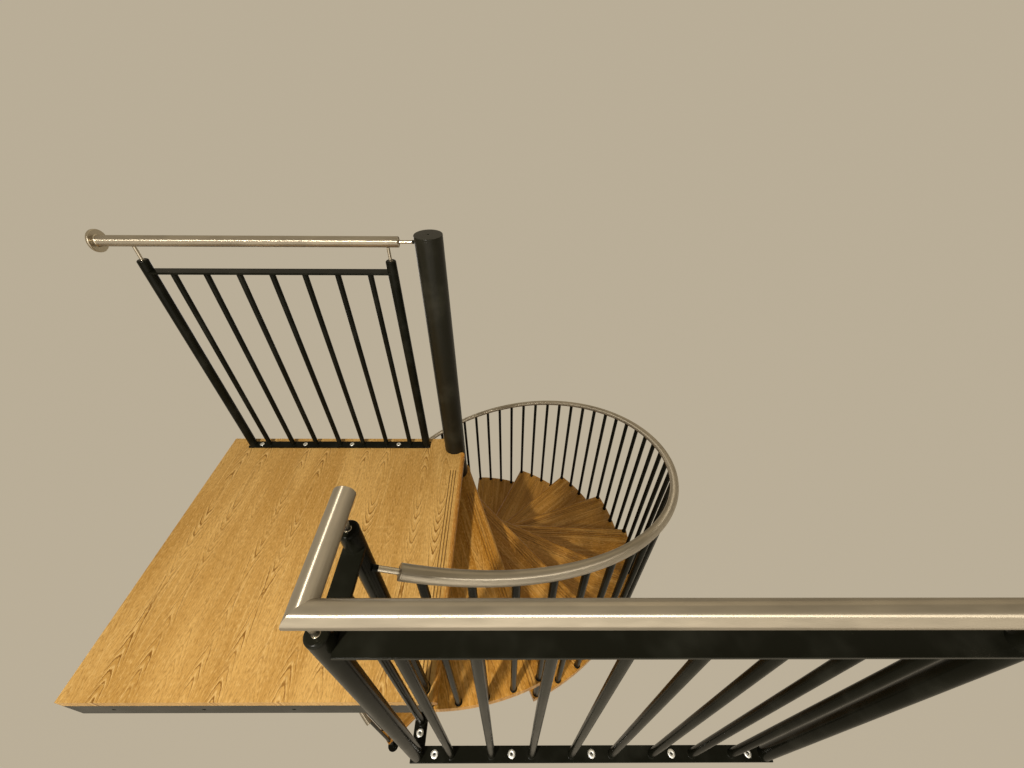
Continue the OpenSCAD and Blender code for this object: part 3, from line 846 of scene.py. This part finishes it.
def stair_baluster(a, foot):
    """Baluster on a rounded foot, its top cut by the tube of the handrail above.

    At the offset u along the rail and w outwards from the rail's own axis, the
    top is at axis height - u tan slope - sqrt(R squared - w squared) / cos slope.
    """
    sides = 32
    t = np.linspace(0, 2 * np.pi, sides, endpoint=False)
    outward = BALUSTER_R * np.cos(t) - (RAIL_R - BALUSTER_CIRCLE)
    forward = BALUSTER_R * np.sin(t)
    gap_r = RAIL_D / 2 + HAIR
    drop = np.sqrt(gap_r ** 2 - outward ** 2) / math.cos(RAIL_SLOPE)
    under = rail_height(a) - forward * math.tan(RAIL_SLOPE) - drop
    rim = 0.0015
    profile = [(0.0, 0.0), (FOOT_R, 0.0)] + arc((FOOT_R - rim, FOOT_H - rim), rim, 0, 90)
    profile += arc((BALUSTER_R + 0.001, FOOT_H + 0.001), 0.001, 270, 180)
    profile += [(BALUSTER_R, 0.5), (BALUSTER_R, 0.8)]
    top = np.stack([BALUSTER_R * np.cos(t), forward, under - foot], axis=-1)[None]
    pole = np.tile([0.0, 0.0, (under - foot).mean()], (1, sides, 1))
    rows = np.concatenate([turned(profile, sides), top, pole])
    outward_way = np.array([math.sin(a), -math.cos(a), 0.0])
    forward_way = np.array([math.cos(a), math.sin(a), 0.0])
    spot = np.append(on_circle(a, BALUSTER_CIRCLE), foot)
    flat = spot + rows[..., :1] * outward_way + rows[..., 1:2] * forward_way
    return flat + rows[..., 2:] * Z_WAY


def stair_balusters():
    """Four balusters on each tread."""
    for k in range(1, TREAD_COUNT + 1):
        grids = [stair_baluster(TREAD_TURN * (k - 1) + BALUSTER_STEP * i, tread_top(k))
                 for i in range(1, TREAD_BALUSTERS + 1)]
        piece = make_piece(f"baluster_tubes_{k:02d}", grids, BLACK_PAINT)
        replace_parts(piece, f"balusters_{k:02d}")


def corner_struts():
    """Struts between the treads' corners, with small fillets, and the disc on the floor."""
    grids = []
    for k in range(TREAD_COUNT + 1):
        spot = on_circle(TREAD_TURN * k, BALUSTER_CIRCLE)
        top = box("corner_struts")[1].z if k == 0 else tread_top(k) - BOARD_T
        foot = tread_top(k + 1) if k < TREAD_COUNT else FOOT_DISC_H
        grids.append(aimed(welded_rod(STRUT_R, top - foot, HIGH_WELD, HIGH_WELD), (*spot, foot)))
    grids.append(aimed(closed_rod(FOOT_DISC_R, FOOT_DISC_H, 0.0012, 64), (*spot, 0.0)))
    piece = make_piece("strut_tubes", grids, BLACK_PAINT)
    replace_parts(piece, "corner_struts")


def tread_nuts():
    """Washer and dome nut under each baluster that doesn't stand over a strut."""
    grids = []
    nut_r, shoulder, dome_h = 0.0065, -0.0065, 0.0055
    profile = [(0.0, 0.0), (0.0100, 0.0), (0.0100, -0.0015), (nut_r, -0.0015), (nut_r, shoulder)]
    profile += [(nut_r * math.cos(v), shoulder - dome_h * math.sin(v)) for v in (0.4, 0.8, 1.2)]
    nut = turned(profile + [(0.0, shoulder - dome_h)], 12)
    for k in range(1, TREAD_COUNT + 1):
        for i in range(1, TREAD_BALUSTERS):
            spot = on_circle(TREAD_TURN * (k - 1) + BALUSTER_STEP * i, BALUSTER_CIRCLE)
            grids.append(nut + np.array([*spot, tread_top(k) - BOARD_T]))
    make_piece("tread_nuts", grids, PIN)


def grid_uv(run, ring):
    """UV corners of a closed grid: u follows the rows' run and v the way round."""
    u = np.stack([run[:-1], run[:-1], run[1:], run[1:]], axis=-1)[:, None]
    v = np.stack([ring[:-1], ring[1:], ring[1:], ring[:-1]], axis=-1)[None]
    u, v = np.broadcast_arrays(u, v)
    return np.stack([u, v], axis=-1).reshape(-1, 2)


def plugged_end():
    """Runs and radius losses near a tube's end: a rounded rim, then the seam of its plug."""
    rim, seam, groove = 0.0009, 0.003, 0.0003
    a = np.radians(np.linspace(90, 0, 4))
    past = [seam - groove, seam, seam + groove, seam + 0.001]
    runs = np.concatenate([[0.0], rim * (1 - np.sin(a)), past])
    loss = np.concatenate([[np.inf], rim * (1 - np.cos(a)), [0.0, groove, 0.0, 0.0]])
    return runs, loss


def spiral_handrail():
    """Smooth handrail on the helix, with a plug at each end.

    Its axis is (R sin a, -R cos a, top + above - riser * a / turn). A ring at
    angle a is square to the path: b goes round it from the outward direction,
    and the up direction leans back by the slope of the path.
    """
    sides, rings = 56, 800
    length = (RAIL_END - RAIL_START) * RAIL_R / math.cos(RAIL_SLOPE)
    near, loss = plugged_end()
    between = np.linspace(near[-1], length - near[-1], rings)[1:-1]
    run = np.concatenate([near, between, (length - near)[::-1]])
    shrink = np.concatenate([loss, np.zeros(len(between)), loss[::-1]])
    radius = np.maximum(RAIL_D / 2 - shrink, 0.0)[:, None]
    a = (RAIL_START + run * math.cos(RAIL_SLOPE) / RAIL_R)[:, None]
    b = np.linspace(0, 2 * np.pi, sides, endpoint=False)[None, :]
    reach = RAIL_R + radius * np.cos(b)
    lean = radius * np.sin(b) * math.sin(RAIL_SLOPE)
    grid = np.stack([reach * np.sin(a) + lean * np.cos(a),
                     -reach * np.cos(a) + lean * np.sin(a),
                     rail_height(a) + radius * np.sin(b) * math.cos(RAIL_SLOPE)], axis=-1)
    uv = [grid_uv(run, np.linspace(0, np.pi * RAIL_D, sides + 1))]
    piece = make_piece("spiral_handrail_tube", [grid], STEEL_RAIL, uv=uv)
    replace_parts(piece, "spiral_handrail")


# Guard rails

def guard_rail(name, replaced, place, way, inside, length, mitred, open_end):
    """Straight guard rail tube from a place along a way.

    A mitred start is cut by the plane run = offset towards the inside of the
    corner. An open end has a rounded rim and its bore, where the plug sits.
    """
    sides, rings, rim = 48, 40, 0.0006
    runs, radii = [0.0, 0.0], [0.0, GUARD_RAIL_R]
    runs += np.linspace(0.03, length - 0.01, rings).tolist()
    radii += [GUARD_RAIL_R] * rings
    if open_end:
        quarter = arc((GUARD_RAIL_R - rim, length - rim), rim, 0, 90)
        radii += [point[0] for point in quarter]
        runs += [point[1] for point in quarter]
        bore = GUARD_RAIL_R - RAIL_WALL
        bottom = length - PLUG_DEPTH - PLUG_T
        radii += [bore, bore, 0.0]
        runs += [length, bottom, bottom]
    else:
        radii += [GUARD_RAIL_R, 0.0]
        runs += [length, length]
    run, radius = np.array(runs)[:, None], np.array(radii)[:, None]
    b = np.linspace(0, 2 * np.pi, sides, endpoint=False)[None, :]
    inward = radius * np.cos(b)
    shear = np.zeros_like(run)
    shear[:2] = 1.0 if mitred else 0.0
    along = run + shear * inward
    flat = np.array(place) + along[..., None] * way + inward[..., None] * inside
    grid = flat + (radius * np.sin(b))[..., None] * Z_WAY
    # a hair between rows that share a run keeps their UV faces open
    opened = run[:, 0] + np.arange(len(runs)) * 1e-6
    uv = [grid_uv(opened, np.linspace(0, 2 * np.pi * GUARD_RAIL_R, sides + 1))]
    piece = make_piece(name, [grid], STEEL_RAIL, uv=uv)
    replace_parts(piece, replaced)


def guard_rails():
    """Back, front and return rails, their end plugs, and the two wall flanges."""
    corner = (CORNER_X, FRONT_Y, FRONT_RAIL_Z)
    guard_rail("front_rail_tube", "front_rail", corner, X_WAY, Y_WAY,
               RIGHT_WALL - FLANGE_T - CORNER_X, True, False)
    guard_rail("return_rail_tube", "return_rail", corner, Y_WAY, X_WAY,
               RETURN_RAIL_END - FRONT_Y, True, True)
    back_start = (LEFT_WALL + FLANGE_T, BACK_Y, BACK_RAIL_Z)
    guard_rail("back_rail_tube", "back_rail", back_start, X_WAY, Y_WAY,
               BACK_RAIL_END - back_start[0], False, True)
    plug = closed_rod(GUARD_RAIL_R - RAIL_WALL - HAIR, PLUG_T, 0.0006, 48)
    ends = [((BACK_RAIL_END, BACK_Y, BACK_RAIL_Z), X_WAY),
            ((CORNER_X, RETURN_RAIL_END, FRONT_RAIL_Z), Y_WAY)]
    plugs = [aimed(plug, np.array(end) - way * (PLUG_DEPTH + PLUG_T), way) for end, way in ends]
    piece = make_piece("rail_end_plugs", plugs, PIN)
    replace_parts(piece, "rail_plugs")
    weld, rim = 0.004, 0.0022
    profile = [(0.0, 0.0), (FLANGE_R, 0.0)] + arc((FLANGE_R - rim, FLANGE_T - rim), rim, 0, 90, 6)
    profile += arc((GUARD_RAIL_R + weld, FLANGE_T + weld), weld, 270, 180, 6)
    profile += [(GUARD_RAIL_R - 0.0005, FLANGE_T + weld), (0.0, FLANGE_T)]
    disc = turned(profile, 72)
    grids = [aimed(disc, (LEFT_WALL, BACK_Y, BACK_RAIL_Z), X_WAY),
             aimed(disc, (RIGHT_WALL, FRONT_Y, FRONT_RAIL_Z), -X_WAY)]
    piece = make_piece("wall_flange_discs", grids, PIN)
    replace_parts(piece, "wall_flanges")


# Guards

def guard_baluster(place):
    """Baluster over a place, welded between a base bar and a top bar."""
    rod = welded_rod(BALUSTER_R, TOP_BAR_H - 2 * BAR_T, LOW_WELD, HIGH_WELD)
    return aimed(rod, np.array(place) + [0.0, 0.0, BAR_T])


def guard_grids(y, floor, posts, balusters, top_from):
    """Base bar, posts, balusters and top bar of a guard along X, all welded."""
    base = flat_bar((posts[0] - BAR_W / 2, y, floor), posts[1] - posts[0] + BAR_W)
    top = flat_bar((top_from, y, floor + TOP_BAR_H - BAR_T), posts[1] - top_from)
    post = welded_rod(POST_R, POST_H - POST_CAP_H - BAR_T, 0.0006, 0.0, 48)
    grids = [base, top] + [guard_baluster((x, y, floor)) for x in balusters]
    return grids + [aimed(post, (x, y, floor + BAR_T)) for x in posts]


def guards():
    """Back and front guards, the return beside the landing, and its end post."""
    grids = guard_grids(BACK_Y, LANDING_TOP, (BACK_LEFT, BACK_RIGHT), BACK_BALUSTERS, BACK_LEFT)
    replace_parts(make_piece("back_guard_frame", grids, BLACK_PAINT), "back_guard")
    reach = POST_R - BAR_BITE
    grids = guard_grids(FRONT_Y, FLOOR_TOP, (CORNER_X, FRONT_RIGHT), FRONT_BALUSTERS,
                        CORNER_X + reach)
    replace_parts(make_piece("front_guard_frame", grids, BLACK_PAINT), "front_guard")
    corner = (CORNER_X, FRONT_Y)
    side = END_POST_Y - FRONT_Y
    base_end = box("floor_plate")[0].y - FLOOR_EDGE_GAP - FRONT_Y
    base = flat_bar((CORNER_X + BAR_W / 2, FRONT_Y, FLOOR_TOP), base_end - BAR_W / 2)
    top = flat_bar((CORNER_X + BAR_BITE, FRONT_Y, FLOOR_TOP + TOP_BAR_H - BAR_T),
                   side - 2 * BAR_BITE)
    baluster = guard_baluster((CORNER_X, FRONT_Y + side / 2, FLOOR_TOP))
    grids = [turned_quarter(base, corner), turned_quarter(top, corner), baluster]
    piece = make_piece("return_guard_frame", grids, BLACK_PAINT)
    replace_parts(piece, "return_guard")
    post = welded_rod(POST_R, END_POST_TOP - POST_CAP_H - LANDING_TOP, 0.0025, 0.0, 48)
    post = aimed(post, (CORNER_X, END_POST_Y, LANDING_TOP))
    piece = make_piece("end_post_tube", [post], BLACK_PAINT)
    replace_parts(piece, "return_end_post")


def post_tops():
    """Plugs on the guard posts, and the pins that carry the rails or tie them sideways."""
    tops = [(x, BACK_Y, LANDING_TOP + POST_H, BACK_RAIL_Z) for x in (BACK_LEFT, BACK_RIGHT)]
    tops += [(x, FRONT_Y, FLOOR_TOP + POST_H, FRONT_RAIL_Z) for x in (CORNER_X, FRONT_RIGHT)]
    tops.append((CORNER_X, END_POST_Y, END_POST_TOP, FRONT_RAIL_Z))
    seam = 0.0004
    flat = POST_CAP_H - POST_CAP_ROUND
    profile = [(0.0, 0.0), (POST_R - seam, 0.0), (POST_R - seam, seam), (POST_R, 2 * seam),
               (POST_R, flat)]
    profile += arc((POST_R - POST_CAP_ROUND, flat), POST_CAP_ROUND, 0, 90, 8)
    plug = turned(profile + [(0.0, POST_CAP_H)], 48)
    plugs = [aimed(plug, (x, y, top - POST_CAP_H)) for x, y, top, rail in tops]
    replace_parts(make_piece("post_plugs", plugs, BLACK_PAINT), "post_caps")
    pins = [aimed(welded_rod(PIN_R, rail - PIN_SUNK - top, 0.0008, 0.0008, 24), (x, y, top))
            for x, y, top, rail in tops]
    back_end = np.array([BACK_RAIL_END - PLUG_DEPTH, BACK_Y, BACK_RAIL_Z])
    column_side = np.array([-math.sqrt(COLUMN_R ** 2 - BACK_Y ** 2), BACK_Y, BACK_RAIL_Z])
    start = np.append(on_circle(RAIL_START, RAIL_R), rail_height(RAIL_START))
    run = start[0] - CORNER_X
    rise = run / math.cos(RAIL_START) * math.tan(RAIL_SLOPE)
    end = start + [-run, -run * math.tan(RAIL_START), rise]
    way = (end - start) / np.linalg.norm(end - start)
    post_side = end - way * (POST_R - 0.0015)
    collar = turned([(0.0, 0.0), (PIN_R + 0.0002, 0.0), (PIN_R + 0.0005, 0.0006),
                     (PIN_R + 0.0007, COLLAR_L - 0.001), (PIN_R + 0.0015, COLLAR_L),
                     (0.0, COLLAR_L)], 24)
    collars = []
    for first, last in ((back_end, column_side), (start, post_side)):
        length = np.linalg.norm(last - first)
        ahead = (last - first) / length
        pins.append(aimed(closed_rod(PIN_R, length, 0.0004, 24), first, ahead))
        collars.append(aimed(collar, last - ahead * COLLAR_L, ahead))
    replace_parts(make_piece("rail_pin_rods", pins, PIN), "rail_pins")
    make_piece("pin_collars", collars, BLACK_PAINT)


def bar_screws():
    """Screws on dished washers in every second gap of the base bars, and the return's own."""
    back = [BACK_LEFT] + BACK_BALUSTERS + [BACK_RIGHT]
    front = [CORNER_X] + FRONT_BALUSTERS + [FRONT_RIGHT]
    spots = []
    for uprights, y, floor in ((back, BACK_Y, LANDING_TOP), (front, FRONT_Y, FLOOR_TOP)):
        for x, next_x in zip(uprights[::2], uprights[1::2]):
            spots.append(((x + next_x) / 2, y, floor + BAR_T))
    spots.append((CORNER_X, FRONT_Y + RETURN_SCREW, FLOOR_TOP + BAR_T))
    washer_r, head_r, socket = 0.0110, 0.0042, 0.0020
    profile = [(0.0, 0.0), (washer_r - 0.0003, 0.0), (washer_r, 0.0004)]
    profile += arc((washer_r - 0.0040, -0.0014), 0.0040, 28, 88, 6)
    profile += [(head_r + 0.0008, 0.0024), (head_r, 0.0018), (head_r, 0.0008), (0.0, 0.0008)]
    washer = turned(profile, 36)
    head = turned([(0.0, 0.0006), (head_r - 0.0002, 0.0006), (head_r - 0.0001, 0.0018),
                   (socket + 0.0009, 0.0027), (socket, 0.0027), (socket, 0.0010),
                   (0.0, 0.0010)], 24)
    make_piece("screw_washers", [aimed(washer, spot) for spot in spots], WASHER)
    make_piece("screw_heads", [aimed(head, spot) for spot in spots], SCREW)


def finish_nodes():
    """Gives every node of the frame a finish, the hidden ones too."""
    for name, piece in nodes.items():
        material = BLACK_PAINT
        if name == "landing_board":
            material = bpy.data.materials["oak_landing"]
        elif name.startswith("tread_"):
            material = bpy.data.materials["oak_" + name]
        elif any(word in name for word in ("rail", "flange", "plug")):
            material = PIN
        for place in piece.material_slots:
            place.material = material


# Stage

def seen_rays(tree):
    """1 for rays from the camera, off a gloss or through glass, 0 for all others."""
    ray = node(tree, "LightPath").outputs
    mirrored = calc(tree, "MAXIMUM", ray["Is Glossy Ray"], ray["Is Transmission Ray"])
    return calc(tree, "MAXIMUM", ray["Is Camera Ray"], mirrored)


def stage():
    """Pale floor that curves up to a backdrop, and a pale world.

    The camera and the gloss on the stair see the floor partly as a plain pale
    glow, and the world in the floor's own shade, so that all shows even and
    pale without more light on the stair.
    """
    near, far, rise, below = 14.0, 30.0, 12.0, 0.0005
    bend = np.linspace(0, np.pi / 2, 24)
    reach = np.concatenate([[0.0], near + (far - near) * np.sin(bend)])
    height = np.concatenate([[0.0], rise * (1 - np.cos(bend))])
    grid = turned(np.stack([reach, height - below], axis=-1), 96)
    material, tree, shader = new_material("pale_floor")
    feed_all(tree, shader, {"Base Color": FLOOR_SHADE, "Roughness": 0.9})
    glow = node(tree, "Emission", {"Color": FLOOR_GLOW}).outputs[0]
    share = times(tree, seen_rays(tree), FLOOR_GLOW_SHARE)
    mixed = node(tree, "MixShader", {0: share, 1: shader.outputs[0], 2: glow})
    feed(tree, tree.nodes["Material Output"].inputs["Surface"], mixed.outputs[0])
    mesh = grid_mesh("pale_floor", [grid])
    mesh.shade_smooth()
    mesh.materials.append(material)
    linked("pale_floor", mesh)
    world = bpy.data.worlds.new("pale_world")
    scene.world = world
    world.use_nodes = True
    tree = world.node_tree
    back = tree.nodes["Background"]
    feed(tree, back.inputs["Color"], tint(tree, seen_rays(tree), WORLD_LIGHT, WORLD_SEEN))


def lamp(name, place, aim, size, watts, colour):
    """Soft lamp at a place, aimed at a point. Its size is along X, then across."""
    data = bpy.data.lights.new(name, "AREA")
    data.shape = "RECTANGLE"
    data.size, data.size_y = size
    data.energy = watts
    data.color = colour
    back = np.array(place, float) - np.array(aim, float)
    back /= np.linalg.norm(back)
    side = X_WAY - back * back[0]
    side /= np.linalg.norm(side)
    stand(name, data, side, np.cross(back, side), back, place)


# Each lamp's name, place, aim, size, watts and colour

WARM = (1.0, 0.95, 0.87)
LAMPS = (
    ("key_lamp", (-0.62, -2.38, 5.75), (-0.3, -0.6, 3.2), (0.13, 0.13), 80, WARM),
    ("soft_lamp", (-0.9, -3.6, 6.9), (-0.1, -0.7, 3.2), (2.4, 1.6), 8, WARM),
    ("right_lamp", (3.4, -2.7, 5.5), (0.6, -1.1, 4.0), (0.3, 0.3), 4, WARM),
    ("wall_lamp", (0.3, -5.2, 4.15), (0.3, -1.0, 3.8), (6.0, 6.5), 190, WARM),
    ("fill_lamp", (1.6, 2.5, 6.4), (0.3, 0.2, 2.4), (3.0, 3.0), 15, (1.0, 0.84, 0.60)),
    ("back_lamp", (-2.5, 4.0, 2.0), (0.0, 0.0, 1.5), (2.0, 2.0), 18, (1.0, 0.97, 0.93)),
)

photo_camera()
boards()
finish_nodes()
column_pieces()
anchor_bolts()
stair_balusters()
corner_struts()
tread_nuts()
spiral_handrail()
guard_rails()
guards()
post_tops()
bar_screws()
stage()
for settings in LAMPS:
    lamp(*settings)
scene.view_settings.view_transform = "Standard"
